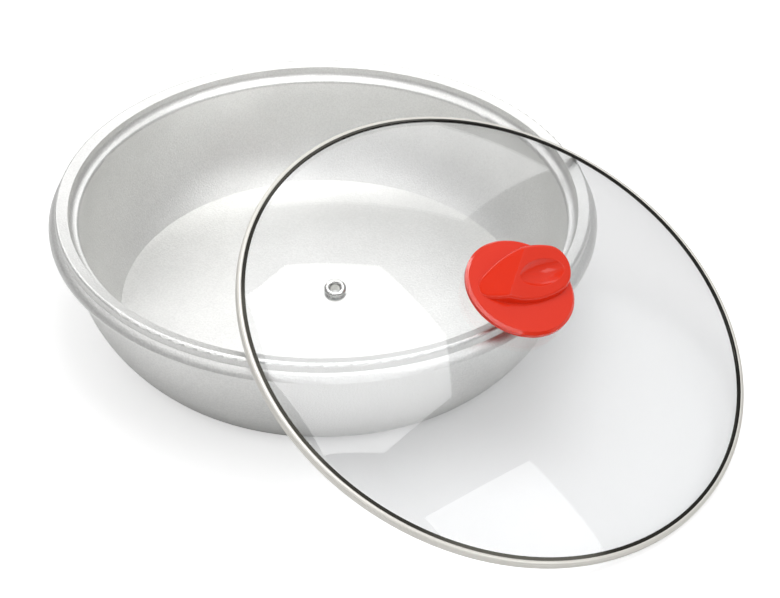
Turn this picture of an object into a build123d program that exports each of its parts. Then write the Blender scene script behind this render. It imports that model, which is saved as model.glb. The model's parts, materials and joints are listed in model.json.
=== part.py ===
"""Round aluminium hot pot pan with its domed glass lid leaning on the lip.

Millimetres, +Z up. The origin is the centre of the pan's flat underside. The lid leans
towards +X: its steel band stands on the table there and its dome bears on the pan's lip.
"""

from math import asin, cos, hypot, radians, sin, sqrt
import os

from build123d import *

os.makedirs("parts", exist_ok=True)

# Pan: overall heights, and the lip's inner edge, which drives every other radius
pan_height = 70.8
floor_thickness = 3.6
lip_inner_radius = 135.0
lip_width = 6.8
lip_slope_drop = 1.6
lip_edge_round = 1.6
lip_inner_round = 0.8

# Pan: the upright wall of the lid seat, its hollow curve, and the shoulder below
seat_wall_height = 1.9
seat_wall_lean = 0.2
seat_curve_width = 3.2
seat_curve_height = 4.2
shoulder_depth = 10.1
shoulder_inset = 5.2

# Pan: the skirt turned down outside the lip
skirt_overhang = 3.7
skirt_depth = 9.8
skirt_edge_height = 1.1
skirt_upright = 3.2
skirt_wall = 3.0
skirt_inner_lean = 1.0
groove_depth = 4.4
groove_lean = 1.4

# Pan: the bowed wall and the base
wall_top_thickness = 5.4
wall_thickness = 3.9
wall_mid_height = 29.2
wall_mid_inset = 3.3
base_inset = 20.7
base_round = 10.0
floor_inset = 2.7
floor_round = 18.0

# Lid: glass cap and steel band
dome_inner_radius = 350.0
glass_thickness = 3.0
glass_clearance = 1.5
glass_edge_round = 0.6
band_fit = 0.05
band_steel = 0.4
band_flange = 3.9
centre_hole_radius = 3.0
table_gap = 0.05
lip_gap = 0.3
least_lean = 10.0
greatest_lean = 40.0

# Lid: steam vent
vent_share = 2 / 3
vent_bearing = -128.6
vent_hole_radius = 3.6
vent_clearance = 0.1
vent_bore_radius = 2.3
vent_mouth_radius = 3.0
vent_flange_radius = 5.3
vent_flange_height = 1.7
vent_flange_round = 1.0
vent_washer_radius = 5.6
vent_washer_thickness = 0.8
vent_curl_radius = 4.6
vent_curl_height = 0.8
vent_curl_round = 0.4

# Lid: knob
flange_radius = 28.2
flange_thickness = 3.2
flange_bevel = 1.3
flange_crown = 0.5
neck_radius = 14.0
neck_height = 2.6
grip_bearing = 72.0
grip_shift = 2.4
grip_low_offset = -16.6
grip_low_radius = 7.0
grip_high_offset = 15.5
grip_high_radius = 12.4
grip_side_radius = 45.4
grip_draft = 6.0
grip_edge_round = 2.0
ramp_offset = -12.0
ramp_height = 8.4
ramp_slope = 0.45
crown_height = 10.8
crown_slope = 0.38
dimple_offset = 9.4
dimple_shift = 0.5
dimple_length = 25.8
dimple_width = 13.4
dimple_depth = 3.0
dimple_run_out = 2.0
dimple_rim_round = 0.5

# Lid: the screw that holds the knob, from below
gasket_thickness = 1.0
knob_gasket_radius = 12.5
glass_gasket_radius = 6.0
screw_radius = 2.0
screw_clearance = 0.1
insert_radius = 3.4
insert_length = 9.0
screw_grip = 7.0
flat_washer_radius = 4.5
flat_washer_thickness = 0.8
lock_washer_radius = 3.4
lock_washer_thickness = 1.0
lock_washer_split = 0.7
screw_head_radius = 3.5
screw_head_height = 2.8
screw_head_round = 1.2
recess_width = 0.9
recess_length = 3.8
recess_depth = 1.5

# Radii and heights that follow from the sizes above
lip_outer_radius = lip_inner_radius + lip_width
skirt_radius = lip_outer_radius + skirt_overhang
shoulder_radius = lip_inner_radius - shoulder_inset
wall_top_radius = shoulder_radius + wall_top_thickness
groove_inner_radius = wall_top_radius + groove_lean
wall_mid_radius = wall_top_radius - wall_mid_inset
base_corner_radius = wall_top_radius - base_inset
floor_corner_radius = base_corner_radius - floor_inset
glass_radius = lip_inner_radius - glass_clearance
vent_distance = glass_radius * vent_share
lip_inner_height = pan_height - lip_slope_drop
shoulder_height = pan_height - shoulder_depth
skirt_height = pan_height - skirt_depth
lip_round_centre = lip_outer_radius - lip_edge_round
lip_round_height = pan_height - lip_edge_round

# The glass is a cap between two spheres with one centre. The lid's own origin is on its
# axis, level with the sharp corner its band would have at the bottom, and z runs up the axis.
dome_outer_radius = dome_inner_radius + glass_thickness
band_offset = band_fit + band_steel
band_under_radius = dome_inner_radius - band_offset
band_radius = glass_radius + band_offset
band_round = glass_edge_round + band_offset
dome_centre = -sqrt(band_under_radius**2 - band_radius**2)


def dome_height(sphere_radius, distance):
    """Height of a sphere about the dome's centre, at a distance from the lid's axis."""
    return dome_centre + sqrt(sphere_radius**2 - distance**2)


# Heights up the lid's axis, from the screw's head to the knob
glass_top = dome_height(dome_outer_radius, 0)
glass_gasket_top = dome_height(dome_inner_radius, glass_gasket_radius)
flat_washer_top = glass_gasket_top - gasket_thickness
lock_washer_top = flat_washer_top - flat_washer_thickness
screw_head_top = lock_washer_top - lock_washer_thickness
screw_head_bottom = screw_head_top - screw_head_height
knob_bottom = glass_top + gasket_thickness
flange_bottom = knob_bottom + neck_height
flange_top = flange_bottom + flange_thickness

# Centres of the roundings that bear on something: the band's lower corner on the table, and
# the screw head's edge on the inside of the lip. Each is a distance out and a height.
corner_out = band_radius - band_round
corner_up = dome_height(band_under_radius + band_round, corner_out)
head_out = screw_head_radius - screw_head_round
head_up = screw_head_bottom + screw_head_round


def height_for(lean):
    """Height of the lid's origin when the band stands on the table."""
    return corner_out * sin(lean) - corner_up * cos(lean) + band_round + table_gap


def offset_for_dome(lean):
    """Least offset of the lid's origin with the dome clear of every lip point under it."""
    rise = lip_round_height - height_for(lean)
    centre_rise = rise - dome_centre * cos(lean)
    reach = band_under_radius - lip_edge_round - lip_gap
    offsets = [0]
    for step in range(361):
        lip_out = lip_round_centre * cos(radians(step / 4))
        lip_across = lip_round_centre * sin(radians(step / 4))
        inward = sqrt(max(reach**2 - lip_across**2 - centre_rise**2, 0))
        offset = lip_out - dome_centre * sin(lean) - inward
        along = (lip_out - offset) * cos(lean) - rise * sin(lean)
        if hypot(along, lip_across) < band_radius + lip_edge_round:
            offsets.append(offset)
    return max(offsets)


def offset_for_screw(lean):
    """Largest offset of the lid's origin with the screw's head clear inside the lip."""
    head_height = height_for(lean) - head_out * sin(lean) + head_up * cos(lean)
    reach = screw_head_round + lip_gap
    outward = sqrt(max(reach**2 - (lip_inner_height - head_height) ** 2, 0))
    return lip_inner_radius - outward - head_out * cos(lean) - head_up * sin(lean)


# The lid has slid out and down until its screw's head caught inside the lip, so its lean is
# the one at which the dome and the screw's head both bear on the lip. Halving finds it.
low_lean = radians(least_lean)
high_lean = radians(greatest_lean)
for step in range(40):
    lean = (low_lean + high_lean) / 2
    if offset_for_dome(lean) > offset_for_screw(lean):
        low_lean = lean
    else:
        high_lean = lean
lid_height = height_for(lean)
lid_offset = offset_for_dome(lean)


def lid_direction(bearing):
    """Direction across the lid at a bearing from its low side."""
    return lid_plane.x_dir * cos(radians(bearing)) + lid_plane.y_dir * sin(radians(bearing))


def section_through(plane):
    """The plane through another's axis whose sketches are revolved about that axis."""
    return Plane(origin=plane.origin, x_dir=plane.x_dir, z_dir=-plane.y_dir)


lid_up = Vector(sin(lean), 0, cos(lean))
lid_out = Vector(cos(lean), 0, -sin(lean))
lid_plane = Plane(origin=(lid_offset, 0, lid_height), x_dir=lid_out, z_dir=lid_up)
lid_section = section_through(lid_plane)
lid_axis = Axis(lid_plane.origin, lid_up)

# The vent stands square to the glass, out at its own bearing from the low side of the lid
vent_slope = asin(vent_distance / dome_outer_radius)
vent_out = lid_direction(vent_bearing)
vent_up = lid_up * cos(vent_slope) + vent_out * sin(vent_slope)
vent_plane = Plane(
    origin=lid_plane.origin + lid_up * dome_centre + vent_up * dome_outer_radius,
    z_dir=vent_up,
)
vent_section = section_through(vent_plane)
vent_axis = Axis(vent_plane.origin, vent_up)

# Pan: one revolved wall, from the underside round the skirt and the lip to the floor
with BuildPart() as pan:
    with BuildSketch(Plane.XZ) as pan_profile:
        with BuildLine():
            underside = Line((0, 0), (base_corner_radius, 0))
            outer_wall = ThreePointArc(
                underside @ 1,
                (wall_mid_radius, wall_mid_height),
                (wall_top_radius, skirt_height),
            )
            skirt = Polyline(
                outer_wall @ 1,
                (groove_inner_radius, skirt_height + groove_depth),
                (skirt_radius - skirt_wall - skirt_inner_lean, skirt_height + groove_depth),
                (skirt_radius - skirt_wall, skirt_height),
                (skirt_radius, skirt_height),
                (skirt_radius, skirt_height + skirt_edge_height),
            )
            lip_side = Line(
                (lip_outer_radius, lip_round_height - skirt_upright),
                (lip_outer_radius, lip_round_height),
            )
            RadiusArc(skirt @ 1, lip_side @ 0, -2 * (skirt_radius - lip_outer_radius))
            lip_round = RadiusArc(
                lip_side @ 1, (lip_round_centre, pan_height), -lip_edge_round
            )
            lip_top = Line(lip_round @ 1, (lip_inner_radius, lip_inner_height))
            seat_wall = Line(
                lip_top @ 1,
                (lip_inner_radius - seat_wall_lean, lip_inner_height - seat_wall_height),
            )
            seat_curve = RadiusArc(
                seat_wall @ 1,
                seat_wall @ 1 - Vector(seat_curve_width, seat_curve_height),
                seat_curve_height,
            )
            shoulder = TangentArc(
                seat_curve @ 1,
                (shoulder_radius, shoulder_height),
                tangent=(-1, 0),
            )
            inner_wall = ThreePointArc(
                shoulder @ 1,
                (wall_mid_radius - wall_thickness, wall_mid_height),
                (floor_corner_radius, floor_thickness),
            )
            Polyline(inner_wall @ 1, (0, floor_thickness), underside @ 0)
        make_face()
        vertices = pan_profile.vertices()
        fillet(vertices.sort_by_distance(underside @ 1)[0], base_round)
        fillet(vertices.sort_by_distance(inner_wall @ 1)[0], floor_round)
        fillet(vertices.sort_by_distance(lip_top @ 1)[0], lip_inner_round)
    revolve(axis=Axis.Z)
pan.part.label = "pan"
export_step(pan.part, "parts/pan.step")

# Lid glass: a spherical cap with a hole for the knob's screw and one for the steam vent
with BuildPart() as lid_glass:
    with BuildSketch(lid_section) as glass_profile:
        with BuildLine():
            glass_under = RadiusArc(
                (0, dome_height(dome_inner_radius, 0)),
                (glass_radius, dome_height(dome_inner_radius, glass_radius)),
                dome_inner_radius,
            )
            glass_over = RadiusArc(
                (0, dome_height(dome_outer_radius, 0)),
                (glass_radius, dome_height(dome_outer_radius, glass_radius)),
                dome_outer_radius,
            )
            Line(glass_under @ 0, glass_over @ 0)
            Line(glass_under @ 1, glass_over @ 1)
        make_face()
        fillet(glass_profile.vertices().sort_by_distance(glass_under @ 1)[:2], glass_edge_round)
    revolve(axis=lid_axis)
    with Locations(lid_plane):
        Cylinder(centre_hole_radius, 2 * dome_outer_radius, mode=Mode.SUBTRACT)
    with Locations(vent_plane):
        Cylinder(vent_hole_radius, 4 * glass_thickness, mode=Mode.SUBTRACT)
lid_glass.part.label = "lid_glass"
export_step(lid_glass.part, "parts/lid_glass.step")

# Steel band: a channel crimped round the glass, with its lips along both faces
glass_face = glass_profile.sketch_local.face()
with BuildPart() as rim_band:
    with BuildSketch(lid_section):
        offset(glass_face, amount=band_offset)
        offset(glass_face, amount=band_fit, mode=Mode.SUBTRACT)
        with Locations((band_radius, 0)):
            Rectangle(2 * band_flange, band_radius, mode=Mode.INTERSECT)
    revolve(axis=lid_axis)
rim_band.part.label = "rim_band"
export_step(rim_band.part, "parts/rim_band.step")

# Vent eyelet: a rounded flange on the glass, a sleeve through it and a curl under the washer
vent_sleeve_radius = vent_hole_radius - vent_clearance
vent_glass_under = dome_inner_radius - dome_outer_radius
vent_washer_sag = dome_inner_radius - sqrt(dome_inner_radius**2 - vent_washer_radius**2)
vent_washer_top = vent_glass_under - vent_washer_sag
vent_curl_top = vent_washer_top - vent_washer_thickness
with BuildPart() as vent_eyelet:
    with BuildSketch(vent_section) as eyelet_profile:
        with BuildLine():
            Polyline(
                (vent_bore_radius, vent_curl_top - vent_curl_height),
                (vent_curl_radius, vent_curl_top - vent_curl_height),
                (vent_curl_radius, vent_curl_top),
                (vent_sleeve_radius, vent_curl_top),
                (vent_sleeve_radius, 0),
                (vent_flange_radius, 0),
                (vent_flange_radius, vent_flange_height),
                (vent_mouth_radius, vent_flange_height),
                (vent_bore_radius, 0),
                close=True,
            )
        make_face()
        flange_corners = eyelet_profile.vertices().group_by(Axis.Y)[-1]
        fillet(flange_corners.sort_by(Axis.X)[-1], vent_flange_round)
        fillet(eyelet_profile.vertices().group_by(Axis.Y)[0].sort_by(Axis.X)[-1], vent_curl_round)
    revolve(axis=vent_axis)
vent_eyelet.part.label = "vent_eyelet"
export_step(vent_eyelet.part, "parts/vent_eyelet.step")

# Vent washer: what the eyelet's curl is clinched against
with BuildPart() as vent_washer:
    with Locations(vent_plane.offset(vent_curl_top)):
        Cylinder(
            vent_washer_radius,
            vent_washer_thickness,
            align=(Align.CENTER, Align.CENTER, Align.MIN),
        )
        Cylinder(
            vent_sleeve_radius + vent_clearance,
            vent_washer_thickness,
            align=(Align.CENTER, Align.CENTER, Align.MIN),
            mode=Mode.SUBTRACT,
        )
vent_washer.part.label = "vent_washer"
export_step(vent_washer.part, "parts/vent_washer.step")

# Knob: a bevelled flange on a short neck, and the sloped grip that stands across it
grip_plane = Plane(
    origin=lid_plane.origin + lid_up * flange_bottom,
    x_dir=lid_direction(grip_bearing),
    z_dir=lid_up,
)
# The grip's outline is four arcs that run into each other: a small round at the low end, a
# larger one at the high end, and a long arc on each side that touches both
grip_span = grip_high_offset - grip_low_offset
low_reach = grip_side_radius - grip_low_radius
high_reach = grip_side_radius - grip_high_radius
side_along = (grip_span**2 + low_reach**2 - high_reach**2) / (2 * grip_span)
side_across = sqrt(low_reach**2 - side_along**2)
low_joint = Vector(-side_along, side_across) * (grip_low_radius / low_reach)
high_joint = Vector(grip_span - side_along, side_across) * (grip_high_radius / high_reach)

# The top is two planes: a ramp up from the low end, and a crown that leans to one side
ramp_plane = Plane(
    origin=grip_plane.from_local_coords((ramp_offset, 0, ramp_height)),
    z_dir=lid_up - grip_plane.x_dir * ramp_slope,
)
crown_plane = Plane(
    origin=grip_plane.from_local_coords((dimple_offset, dimple_shift, crown_height)),
    x_dir=grip_plane.x_dir,
    z_dir=lid_up - grip_plane.y_dir * crown_slope,
)
crown_section = section_through(crown_plane)

# The dimple is an arc turned about a line above the crown. The arc runs out past both ends
# of the dimple, so that the crown cuts it in one smooth oval.
dimple_axis_height = (dimple_width**2 / 4 - dimple_depth**2) / (2 * dimple_depth)
dimple_arc_radius = (dimple_length**2 / 4 + dimple_depth**2) / (2 * dimple_depth)
dimple_arc_end = dimple_length / 2 + dimple_run_out
dimple_arc_rise = sqrt(dimple_arc_radius**2 - dimple_arc_end**2)
dimple_end_height = dimple_arc_radius - dimple_depth - dimple_arc_rise
with BuildPart() as knob:
    with BuildSketch(grip_plane):
        with BuildLine():
            near_side = ThreePointArc(
                (grip_low_offset + low_joint.X, grip_shift - low_joint.Y),
                (
                    grip_low_offset + side_along,
                    grip_shift + side_across - grip_side_radius,
                ),
                (grip_high_offset + high_joint.X, grip_shift - high_joint.Y),
            )
            high_end = ThreePointArc(
                near_side @ 1,
                (grip_high_offset + grip_high_radius, grip_shift),
                (grip_high_offset + high_joint.X, grip_shift + high_joint.Y),
            )
            far_side = ThreePointArc(
                high_end @ 1,
                (
                    grip_low_offset + side_along,
                    grip_shift - side_across + grip_side_radius,
                ),
                (grip_low_offset + low_joint.X, grip_shift + low_joint.Y),
            )
            ThreePointArc(
                far_side @ 1,
                (grip_low_offset - grip_low_radius, grip_shift),
                near_side @ 0,
            )
        make_face()
    extrude(amount=2 * crown_height, taper=grip_draft)
    split(bisect_by=ramp_plane, keep=Keep.BOTTOM)
    split(bisect_by=crown_plane, keep=Keep.BOTTOM)
    ramp_face = knob.faces().filter_by(ramp_plane)[0]
    crown_face = knob.faces().filter_by(crown_plane)[0]
    fillet(ramp_face.edges() + crown_face.edges(), grip_edge_round)
    with BuildSketch(crown_section):
        with BuildLine():
            dimple_arc = ThreePointArc(
                (-dimple_arc_end, dimple_end_height),
                (0, -dimple_depth),
                (dimple_arc_end, dimple_end_height),
            )
            Polyline(
                dimple_arc @ 0,
                (-dimple_arc_end, dimple_axis_height),
                (dimple_arc_end, dimple_axis_height),
                dimple_arc @ 1,
            )
        make_face()
    dimple_centre = crown_section.from_local_coords((0, dimple_axis_height))
    revolve(axis=Axis(dimple_centre, crown_plane.x_dir), mode=Mode.SUBTRACT)
    crown_face = knob.faces().filter_by(crown_plane)[0]
    fillet(crown_face.inner_wires()[0].edges(), dimple_rim_round)
    with BuildSketch(lid_section):
        with BuildLine():
            Polyline(
                (0, knob_bottom),
                (neck_radius, knob_bottom),
                (neck_radius, flange_bottom),
                (flange_radius, flange_bottom),
                (flange_radius, flange_top - flange_bevel),
                (flange_radius - flange_bevel, flange_top),
                (0, flange_top + flange_crown),
                close=True,
            )
        make_face()
    revolve(axis=lid_axis)
    with Locations(lid_plane.offset(knob_bottom)):
        Cylinder(
            insert_radius,
            insert_length,
            align=(Align.CENTER, Align.CENTER, Align.MIN),
            mode=Mode.SUBTRACT,
        )
knob.part.label = "knob"
export_step(knob.part, "parts/knob.step")

# Threaded insert moulded into the knob
with BuildPart() as knob_insert:
    with BuildSketch(lid_plane.offset(knob_bottom)):
        Circle(insert_radius)
        Circle(screw_radius + screw_clearance, mode=Mode.SUBTRACT)
    extrude(amount=insert_length)
knob_insert.part.label = "knob_insert"
export_step(knob_insert.part, "parts/knob_insert.step")

# Soft rings on both faces of the glass
with BuildPart() as knob_gasket:
    with BuildSketch(lid_plane.offset(glass_top)):
        Circle(knob_gasket_radius)
        Circle(screw_radius + screw_clearance, mode=Mode.SUBTRACT)
    extrude(amount=gasket_thickness)
knob_gasket.part.label = "knob_gasket"
export_step(knob_gasket.part, "parts/knob_gasket.step")

with BuildPart() as glass_gasket:
    with BuildSketch(lid_plane.offset(flat_washer_top)):
        Circle(glass_gasket_radius)
        Circle(screw_radius + screw_clearance, mode=Mode.SUBTRACT)
    extrude(amount=gasket_thickness)
glass_gasket.part.label = "glass_gasket"
export_step(glass_gasket.part, "parts/glass_gasket.step")

# Washers between the lower gasket and the screw's head
with BuildPart() as flat_washer:
    with BuildSketch(lid_plane.offset(lock_washer_top)):
        Circle(flat_washer_radius)
        Circle(screw_radius + screw_clearance, mode=Mode.SUBTRACT)
    extrude(amount=flat_washer_thickness)
flat_washer.part.label = "flat_washer"
export_step(flat_washer.part, "parts/flat_washer.step")

with BuildPart() as lock_washer:
    with BuildSketch(lid_plane.offset(screw_head_top)):
        Circle(lock_washer_radius)
        Circle(screw_radius + screw_clearance, mode=Mode.SUBTRACT)
        with Locations((lock_washer_radius, 0)):
            Rectangle(2 * lock_washer_radius, lock_washer_split, mode=Mode.SUBTRACT)
    extrude(amount=lock_washer_thickness)
lock_washer.part.label = "lock_washer"
export_step(lock_washer.part, "parts/lock_washer.step")

# Screw: a round head below with a cross recess, and a shank up into the insert
with BuildPart() as lid_screw:
    with BuildSketch(lid_plane.offset(screw_head_bottom)):
        Circle(screw_head_radius)
    extrude(amount=screw_head_height)
    fillet(lid_screw.edges().sort_by(lid_axis)[0], screw_head_round)
    with BuildSketch(lid_plane.offset(screw_head_top)):
        Circle(screw_radius)
    extrude(amount=knob_bottom + screw_grip - screw_head_top)
    with BuildSketch(lid_plane.offset(screw_head_bottom)):
        Rectangle(recess_length, recess_width)
        Rectangle(recess_width, recess_length)
    extrude(amount=recess_depth, mode=Mode.SUBTRACT)
lid_screw.part.label = "lid_screw"
export_step(lid_screw.part, "parts/lid_screw.step")
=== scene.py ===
import json
from math import asin, cos, pi, radians, sin, sqrt

import bpy
from mathutils import Matrix, Vector


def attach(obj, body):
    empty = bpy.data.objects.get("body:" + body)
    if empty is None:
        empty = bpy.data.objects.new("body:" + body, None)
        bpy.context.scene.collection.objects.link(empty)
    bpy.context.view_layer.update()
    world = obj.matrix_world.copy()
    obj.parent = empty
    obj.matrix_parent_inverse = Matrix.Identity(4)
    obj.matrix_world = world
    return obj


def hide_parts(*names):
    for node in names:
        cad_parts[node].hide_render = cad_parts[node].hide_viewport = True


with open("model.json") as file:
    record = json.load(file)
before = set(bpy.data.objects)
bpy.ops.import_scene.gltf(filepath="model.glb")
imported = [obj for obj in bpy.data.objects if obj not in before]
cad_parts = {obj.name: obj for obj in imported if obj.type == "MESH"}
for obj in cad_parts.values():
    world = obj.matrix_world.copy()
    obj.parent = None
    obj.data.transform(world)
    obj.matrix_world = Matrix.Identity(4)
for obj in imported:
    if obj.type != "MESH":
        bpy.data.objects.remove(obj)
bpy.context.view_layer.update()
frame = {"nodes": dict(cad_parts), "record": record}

nodes = frame["nodes"]
scene = bpy.context.scene


# Materials

# The way that the grip's ramp faces, on the lid as it lies
ramp_normal = (0.2268, -0.3903, 0.8923)


def material(name):
    """A new node material, its node tree and its Principled shader."""
    made = bpy.data.materials.new(name)
    made.use_nodes = True
    return made, made.node_tree, made.node_tree.nodes["Principled BSDF"]


def noise(tree, scale, detail=3.0, roughness=0.5):
    """A noise texture in the object's own space, in cycles per metre."""
    place = tree.nodes.new("ShaderNodeTexCoord")
    texture = tree.nodes.new("ShaderNodeTexNoise")
    texture.inputs["Scale"].default_value = scale
    texture.inputs["Detail"].default_value = detail
    texture.inputs["Roughness"].default_value = roughness
    tree.links.new(place.outputs["Object"], texture.inputs["Vector"])
    return texture.outputs["Fac"]


def remap(tree, value, low, high, to_low, to_high):
    """The value's range from low to high, moved to another range."""
    node = tree.nodes.new("ShaderNodeMapRange")
    node.inputs["From Min"].default_value = low
    node.inputs["From Max"].default_value = high
    node.inputs["To Min"].default_value = to_low
    node.inputs["To Max"].default_value = to_high
    tree.links.new(value, node.inputs["Value"])
    return node.outputs["Result"]


def tint(tree, value, dark, light):
    """A colour between two, by a value from 0 to 1."""
    node = tree.nodes.new("ShaderNodeMix")
    node.data_type = "RGBA"
    node.inputs["A"].default_value = (*dark, 1)
    node.inputs["B"].default_value = (*light, 1)
    tree.links.new(value, node.inputs["Factor"])
    return node.outputs["Result"]


def bump(tree, shader, value, height, strength=1.0):
    """Relief on a shader, from a height in metres."""
    node = tree.nodes.new("ShaderNodeBump")
    node.inputs["Distance"].default_value = height
    node.inputs["Strength"].default_value = strength
    tree.links.new(value, node.inputs["Height"])
    tree.links.new(node.outputs["Normal"], shader.inputs["Normal"])


def satin_aluminium():
    """Fine-grained aluminium, with painted shade making it darker where it faces down towards the foot."""
    made, tree, shader = material("satin_aluminium")
    shader.inputs["Metallic"].default_value = 1.0
    grain = noise(tree, 1000.0, 2.0, 0.6)
    cloud = noise(tree, 22.0, 2.0)
    patches = remap(tree, cloud, 0.35, 0.65, 0.0, 1.0)
    colour = tint(tree, patches, (0.89, 0.89, 0.875), (0.94, 0.94, 0.925))
    place = tree.nodes.new("ShaderNodeTexCoord")
    split = tree.nodes.new("ShaderNodeSeparateXYZ")
    tree.links.new(place.outputs["Normal"], split.inputs["Vector"])
    # Painted shade: the colour darkens where the surface faces down, standing in for the shadowed table it
    # mirrors there
    foot = tree.nodes.new("ShaderNodeMix")
    foot.data_type = "RGBA"
    foot.inputs["A"].default_value = (0.60, 0.60, 0.58, 1)
    tree.links.new(remap(tree, split.outputs["Z"], -0.90, -0.40, 0.0, 1.0), foot.inputs["Factor"])
    tree.links.new(colour, foot.inputs["B"])
    fleck = tree.nodes.new("ShaderNodeMix")
    fleck.data_type = "RGBA"
    fleck.blend_type = "MULTIPLY"
    fleck.inputs["Factor"].default_value = 1.0
    tree.links.new(foot.outputs["Result"], fleck.inputs["A"])
    flecks = tint(tree, remap(tree, grain, 0.35, 0.65, 0.0, 1.0), (0.91, 0.91, 0.91), (1, 1, 1))
    tree.links.new(flecks, fleck.inputs["B"])
    tree.links.new(fleck.outputs["Result"], shader.inputs["Base Color"])
    tree.links.new(remap(tree, grain, 0.3, 0.7, 0.34, 0.48), shader.inputs["Roughness"])
    bump(tree, shader, grain, 0.00022, 1.0)
    return made


def polished_steel(name, roughness):
    made, tree, shader = material(name)
    shader.inputs["Metallic"].default_value = 1.0
    smear = noise(tree, 60.0, 3.0)
    tree.links.new(tint(tree, smear, (0.70, 0.70, 0.69), (0.78, 0.78, 0.77)), shader.inputs["Base Color"])
    smoothest, roughest = roughness * 0.7, roughness * 1.3
    tree.links.new(remap(tree, smear, 0.3, 0.7, smoothest, roughest), shader.inputs["Roughness"])
    return made


def beaded_steel():
    """The band: a satin bead outside, and along its inner edge a polished line whose near-black colour is a
    painted dark reflection.
    """
    made, tree, shader = material("band_steel")
    satin = tree.nodes.new("ShaderNodeAttribute")
    satin.attribute_name = "satin"
    smear = noise(tree, 60.0, 3.0)
    pale = tint(tree, smear, (0.74, 0.72, 0.67), (0.82, 0.80, 0.75))
    # Painted dark reflection: the strip's steel is coloured near black, standing in for the dark room it
    # mirrors
    painted_dark_reflection = tree.nodes.new("ShaderNodeMix")
    painted_dark_reflection.data_type = "RGBA"
    painted_dark_reflection.inputs["A"].default_value = (0.06, 0.058, 0.05, 1)
    tree.links.new(satin.outputs["Fac"], painted_dark_reflection.inputs["Factor"])
    tree.links.new(pale, painted_dark_reflection.inputs["B"])
    tree.links.new(painted_dark_reflection.outputs["Result"], shader.inputs["Base Color"])
    tree.links.new(remap(tree, satin.outputs["Fac"], 0, 1, 1.0, 0.5), shader.inputs["Metallic"])
    tree.links.new(remap(tree, satin.outputs["Fac"], 0, 1, 0.12, 0.34), shader.inputs["Roughness"])
    return made


def clear_glass():
    """Clear glass, which lets lamps shine through it as a plain tinted sheet would."""
    made, tree, shader = material("clear_glass")
    smear = noise(tree, 12.0, 2.0)
    colour = tint(tree, smear, (0.955, 0.958, 0.964), (0.963, 0.966, 0.972))
    tree.links.new(colour, shader.inputs["Base Color"])
    tree.links.new(remap(tree, smear, 0.3, 0.7, 0.0, 0.012), shader.inputs["Roughness"])
    shader.inputs["Transmission Weight"].default_value = 1.0
    shader.inputs["IOR"].default_value = 1.5
    path = tree.nodes.new("ShaderNodeLightPath")
    clear = tree.nodes.new("ShaderNodeBsdfTransparent")
    clear.inputs["Color"].default_value = (0.94, 0.95, 0.95, 1)
    mix = tree.nodes.new("ShaderNodeMixShader")
    tree.links.new(path.outputs["Is Shadow Ray"], mix.inputs[0])
    tree.links.new(shader.outputs["BSDF"], mix.inputs[1])
    tree.links.new(clear.outputs["BSDF"], mix.inputs[2])
    tree.links.new(mix.outputs["Shader"], tree.nodes["Material Output"].inputs["Surface"])
    return made


def red_plastic():
    """Glossy red plastic; the grip's long ramp is duller than the rest."""
    made, tree, shader = material("red_plastic")
    flow = noise(tree, 90.0, 3.0)
    colour = tint(tree, flow, (0.74, 0.027, 0.006), (0.78, 0.031, 0.008))
    tree.links.new(colour, shader.inputs["Base Color"])
    tree.links.new(remap(tree, flow, 0.3, 0.7, 0.09, 0.15), shader.inputs["Roughness"])
    shader.inputs["IOR"].default_value = 1.5
    place = tree.nodes.new("ShaderNodeTexCoord")
    facing = tree.nodes.new("ShaderNodeVectorMath")
    facing.operation = "DOT_PRODUCT"
    facing.inputs[1].default_value = ramp_normal
    tree.links.new(place.outputs["Normal"], facing.inputs[0])
    shine = remap(tree, facing.outputs["Value"], 0.950, 0.985, 0.50, 0.05)
    tree.links.new(shine, shader.inputs["Specular IOR Level"])
    bump(tree, shader, noise(tree, 250.0, 2.0), 0.00003, 0.4)
    return made


def pale_rubber():
    made, tree, shader = material("pale_rubber")
    dust = noise(tree, 400.0, 3.0)
    tree.links.new(tint(tree, dust, (0.70, 0.70, 0.68), (0.78, 0.78, 0.76)), shader.inputs["Base Color"])
    shader.inputs["Roughness"].default_value = 0.55
    bump(tree, shader, dust, 0.00005, 0.4)
    return made


def plain_brass():
    made, tree, shader = material("plain_brass")
    shader.inputs["Metallic"].default_value = 1.0
    turning = noise(tree, 500.0, 2.0)
    tree.links.new(tint(tree, turning, (0.68, 0.50, 0.22), (0.76, 0.58, 0.28)), shader.inputs["Base Color"])
    shader.inputs["Roughness"].default_value = 0.3
    return made


looks = {
    "pan_aluminium": satin_aluminium(),
    "clear_glass": clear_glass(),
    "band_steel": beaded_steel(),
    "eyelet_steel": polished_steel("eyelet_steel", 0.10),
    "washer_steel": polished_steel("washer_steel", 0.25),
    "screw_steel": polished_steel("screw_steel", 0.22),
    "knob_plastic": red_plastic(),
    "gasket_rubber": pale_rubber(),
    "insert_brass": plain_brass(),
}
slot_of = {part["node"]: part["material_slot"] for part in frame["record"]["subparts"]}
for node_name, slot_name in slot_of.items():
    node = nodes[node_name]
    node.data.materials.clear()
    node.data.materials.append(looks[slot_name])


# The lid's own frame and sizes, as its solids have them, in millimetres
lid_lean = 22.1767
lid_origin = (123.0086, 0.0, 49.8125)
glass_outer_sphere = 353.0
glass_inner_sphere = 350.0
glass_radius = 133.5
band_gap = 0.05
band_steel = 0.40
band_inner_radius = 130.05
vent_distance = 89.0
vent_bearing = -128.6
band_offset = band_gap + band_steel
band_radius = glass_radius + band_offset
dome_centre = -sqrt((glass_inner_sphere - band_offset) ** 2 - band_radius**2)

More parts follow.
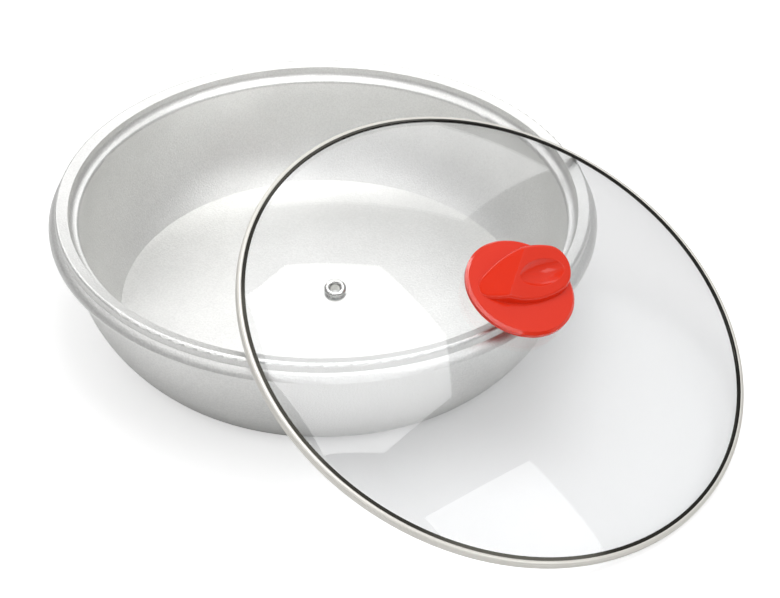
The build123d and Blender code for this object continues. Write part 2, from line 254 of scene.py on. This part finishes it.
scale_mm = Matrix.Scale(0.001, 4)
lid_frame = scale_mm @ Matrix.Translation(Vector(lid_origin)) @ Matrix.Rotation(radians(lid_lean), 4, "Y")
dome_frame = lid_frame @ Matrix.Translation((0, 0, dome_centre))
vent_frame = (
    dome_frame
    @ Matrix.Rotation(radians(vent_bearing), 4, "Z")
    @ Matrix.Rotation(asin(vent_distance / glass_outer_sphere), 4, "Y")
    @ Matrix.Translation((0, 0, glass_outer_sphere))
)


def turned(name, profile, place, steps, body, stands_for, satin=()):
    """A ring turned about an axis from a closed profile; its first satin points are a satin face."""
    points = []
    for step in range(steps):
        angle = 2 * pi * step / steps
        for radius, height in profile:
            points.append(place @ Vector((radius * cos(angle), radius * sin(angle), height)))
    count = len(profile)
    faces = []
    for step in range(steps):
        here = step * count
        there = (step + 1) % steps * count
        for index in range(count):
            after = (index + 1) % count
            faces.append((here + index, there + index, there + after, here + after))
    mesh = bpy.data.meshes.new(name)
    mesh.from_pydata(points, [], faces)
    mesh.update()
    mesh.shade_smooth()
    mesh.set_sharp_from_angle(angle=radians(50))
    finish = mesh.attributes.new("satin", "FLOAT", "POINT")
    for index in range(len(points)):
        finish.data[index].value = 1.0 if index % count in satin else 0.0
    slot_name = slot_of[stands_for]
    mesh.materials.append(looks[slot_name])
    thing = bpy.data.objects.new(name, mesh)
    scene.collection.objects.link(thing)
    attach(thing, body)
    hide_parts(stands_for)


def bow(centre, half_width, half_height, start, end, steps):
    """Points on an ellipse between two angles, in degrees."""
    found = []
    for step in range(steps + 1):
        angle = radians(start + (end - start) * step / steps)
        found.append((centre[0] + half_width * cos(angle), centre[1] + half_height * sin(angle)))
    return found


def on_glass(radius, height):
    """A point of a lid profile at a height square to the outside of the glass."""
    slope = asin(radius / glass_outer_sphere)
    sphere_radius = glass_outer_sphere + height
    return sphere_radius * sin(slope), dome_centre + sphere_radius * cos(slope)


def under_glass(radius, height):
    """A point of a lid profile at a height square to the inside of the glass, downwards."""
    slope = asin(radius / glass_inner_sphere)
    sphere_radius = glass_inner_sphere - height
    return sphere_radius * sin(slope), dome_centre + sphere_radius * cos(slope)


def rolled_band():
    """The steel band, with a bead rolled along its outer edge and a flat strip inside the bead."""
    corner = 1.05
    corner_start = -68
    bead_width = 1.2
    bead_rise = 0.1
    bead_height = 0.72
    bead_end = 150
    bead_reach = 1.06
    strip_start = 0.42
    strip_end = 0.40
    edge_round = 0.65
    bead_radius = band_radius - bead_width
    corner_radius = band_radius - corner
    corner_height = dome_centre + sqrt((glass_inner_sphere - band_offset + corner) ** 2 - corner_radius**2)
    bottom = bow((corner_radius, corner_height), corner, corner, corner_start, 0, 8)
    bead = [
        on_glass(radius, height)
        for radius, height in bow((bead_radius, bead_rise), bead_width, bead_height, 0, bead_end, 16)
    ]
    strip = [
        on_glass(bead_radius - bead_reach, strip_start),
        on_glass(band_inner_radius + 0.1, strip_end),
        on_glass(band_inner_radius, band_gap),
    ]
    rim = glass_radius + band_gap
    inside = [
        on_glass(rim - edge_round, band_gap),
        on_glass(rim, -edge_round),
        under_glass(rim, -edge_round),
        under_glass(rim - edge_round, band_gap),
        under_glass(band_inner_radius, band_gap),
        under_glass(band_inner_radius, band_offset),
    ]
    # Points left out of satin form the strip, which the material paints near black as a painted dark
    # reflection
    satin = range(len(bottom) + len(bead))
    turned("rolled_band", bottom + bead + strip + inside, lid_frame, 540, "lid", "rim_band", satin)


def rolled_eyelet():
    """The vent's eyelet with its flange rolled into a half round."""
    bore = 2.3
    edge = 5.3
    flange_height = 1.7
    sleeve = 3.5
    curl = 4.6
    curl_inner = 4.2
    curl_top = -3.85
    curl_turn = -4.3
    foot = -4.65
    half = (edge - bore) / 2
    flange = bow((bore + half, 0.0), half, flange_height, 0, 180, 20)
    below = [
        (bore, foot),
        (curl_inner, foot),
        (curl, curl_turn),
        (curl, curl_top),
        (sleeve, curl_top),
        (sleeve, 0.0),
    ]
    turned("rolled_eyelet", flange + below, vent_frame, 96, "lid", "vent_eyelet")


rolled_band()
rolled_eyelet()


# Stage: a pale table, softboxes above, beside and behind, a thin lamp and a soft white room

def stage_mesh(name, corners, faces, made):
    """A piece of the stage from its corners, in metres."""
    mesh = bpy.data.meshes.new(name)
    mesh.from_pydata(corners, [], faces)
    mesh.update()
    mesh.materials.append(made)
    thing = bpy.data.objects.new(name, mesh)
    scene.collection.objects.link(thing)


def sheet_mesh(name, corners, made):
    """A flat piece of the stage."""
    stage_mesh(name, corners, [tuple(range(len(corners)))], made)


def level_sheet(name, outline, height, made):
    """A flat piece of the stage that lies level."""
    sheet_mesh(name, [(x, y, height) for x, y in outline], made)


def long_strip(name, centre, distance, way, half_angle, made):
    """A thin lamp round the front, through directions of bearing and elevation seen from a point."""
    corners = []
    for bearing, elevation in way:
        for tilt in (elevation - half_angle, elevation + half_angle):
            level = distance * cos(radians(tilt))
            corners.append(
                (
                    centre[0] + level * sin(radians(bearing)),
                    centre[1] - level * cos(radians(bearing)),
                    centre[2] + distance * sin(radians(tilt)),
                )
            )
    faces = [(row, row + 1, row + 3, row + 2) for row in range(0, len(corners) - 2, 2)]
    stage_mesh(name, corners, faces, made)


def table_white():
    """A pale table, which the camera sees as bright as an overexposed one."""
    made, tree, shader = material("table_white")
    tone = noise(tree, 3.0, 2.0)
    tree.links.new(tint(tree, tone, (0.74, 0.74, 0.74), (0.75, 0.75, 0.75)), shader.inputs["Base Color"])
    shader.inputs["Roughness"].default_value = 0.6
    shader.inputs["Specular IOR Level"].default_value = 0.2
    shader.inputs["Emission Color"].default_value = (1, 1, 1, 1)
    path = tree.nodes.new("ShaderNodeLightPath")
    lift = tree.nodes.new("ShaderNodeMath")
    lift.operation = "ADD"
    tree.links.new(remap(tree, path.outputs["Is Camera Ray"], 0, 1, 0.0, 0.46), lift.inputs[0])
    tree.links.new(remap(tree, path.outputs["Is Transmission Ray"], 0, 1, 0.0, 0.20), lift.inputs[1])
    tree.links.new(lift.outputs["Value"], shader.inputs["Emission Strength"])
    return made


def glow(name, strength):
    made = bpy.data.materials.new(name)
    made.use_nodes = True
    tree = made.node_tree
    tree.nodes.clear()
    light = tree.nodes.new("ShaderNodeEmission")
    light.inputs["Strength"].default_value = strength
    out = tree.nodes.new("ShaderNodeOutputMaterial")
    tree.links.new(light.outputs["Emission"], out.inputs["Surface"])
    return made


table_reach = 4
table_height = -0.0002
ceiling = 1.5
level_sheet(
    "table",
    [
        (-table_reach, -table_reach),
        (table_reach, -table_reach),
        (table_reach, table_reach),
        (-table_reach, table_reach),
    ],
    table_height,
    table_white(),
)
level_sheet(
    "softbox_over",
    [
        (-0.50, -0.01),
        (-0.51, 0.24),
        (-0.20, 0.56),
        (0.31, 0.52),
        (0.59, 0.31),
        (0.61, -0.18),
        (0.41, -0.40),
        (-0.08, -0.28),
    ],
    ceiling,
    glow("softbox", 3.2),
)
level_sheet(
    "softbox_side",
    [(1.06, -0.25), (1.18, 0.52), (2.27, 0.90), (2.4, 0.0)],
    ceiling,
    glow("softbox_side", 2.2),
)
sheet_mesh(
    "softbox_back",
    [(-1.9, 0.3, 0.7), (-0.5, 1.9, 0.7), (-0.4, 1.7, 1.9), (-1.7, 0.2, 1.9)],
    glow("softbox_back", 1.4),
)

# The directions in which the bevel of the knob's flange mirrors the camera, left to right
way_round = ((-112, 19), (-102, 27), (-82, 37), (-56, 43), (-26, 44), (1, 40), (27, 32), (49, 23), (70, 14))
knob_place = (0.135, 0.0, 0.09)
long_strip("strip", knob_place, 1.7, way_round, 0.45, glow("strip", 10.0))


def white_room():
    """A bright room to diffuse light; polished things see it darken towards the horizon."""
    room = bpy.data.worlds.new("white_room")
    room.use_nodes = True
    tree = room.node_tree
    place = tree.nodes.new("ShaderNodeTexCoord")
    split = tree.nodes.new("ShaderNodeSeparateXYZ")
    tree.links.new(place.outputs["Generated"], split.inputs["Vector"])
    ramp = tree.nodes.new("ShaderNodeValToRGB")
    tree.links.new(remap(tree, split.outputs["Z"], -1, 1, 0, 1), ramp.inputs["Fac"])
    stops = ramp.color_ramp.elements
    stops[0].position, stops[0].color = 0.40, (0.30, 0.30, 0.30, 1)
    stops[1].position, stops[1].color = 1.0, (0.90, 0.90, 0.90, 1)
    for position, grey in ((0.50, 0.10), (0.62, 0.35), (0.85, 0.55)):
        stop = stops.new(position)
        stop.color = (grey, grey, grey, 1)
    path = tree.nodes.new("ShaderNodeLightPath")
    soft = tree.nodes.new("ShaderNodeMix")
    soft.data_type = "RGBA"
    soft.inputs["B"].default_value = (0.67, 0.67, 0.67, 1)
    tree.links.new(path.outputs["Is Diffuse Ray"], soft.inputs["Factor"])
    tree.links.new(ramp.outputs["Color"], soft.inputs["A"])
    seen = tree.nodes.new("ShaderNodeMix")
    seen.data_type = "RGBA"
    seen.inputs["B"].default_value = (1, 1, 1, 1)
    tree.links.new(path.outputs["Is Camera Ray"], seen.inputs["Factor"])
    tree.links.new(soft.outputs["Result"], seen.inputs["A"])
    tree.links.new(seen.outputs["Result"], tree.nodes["Background"].inputs["Color"])
    return room


scene.world = white_room()

# Camera: as the photograph was taken
lens = bpy.data.cameras.new("camera")
lens.sensor_width = 36.0
lens.lens = 80.381
lens.clip_end = 20.0
camera = bpy.data.objects.new("camera", lens)
scene.collection.objects.link(camera)
camera.matrix_world = Matrix.Translation(Vector((0.54732, -0.53578, 0.5989))) @ Matrix(
    (
        (0.722413, -0.436922, 0.535928),
        (0.691186, 0.434393, -0.57755),
        (0.019541, 0.787656, 0.615806),
    )
).to_4x4()
scene.camera = camera
scene.view_settings.view_transform = "Standard"
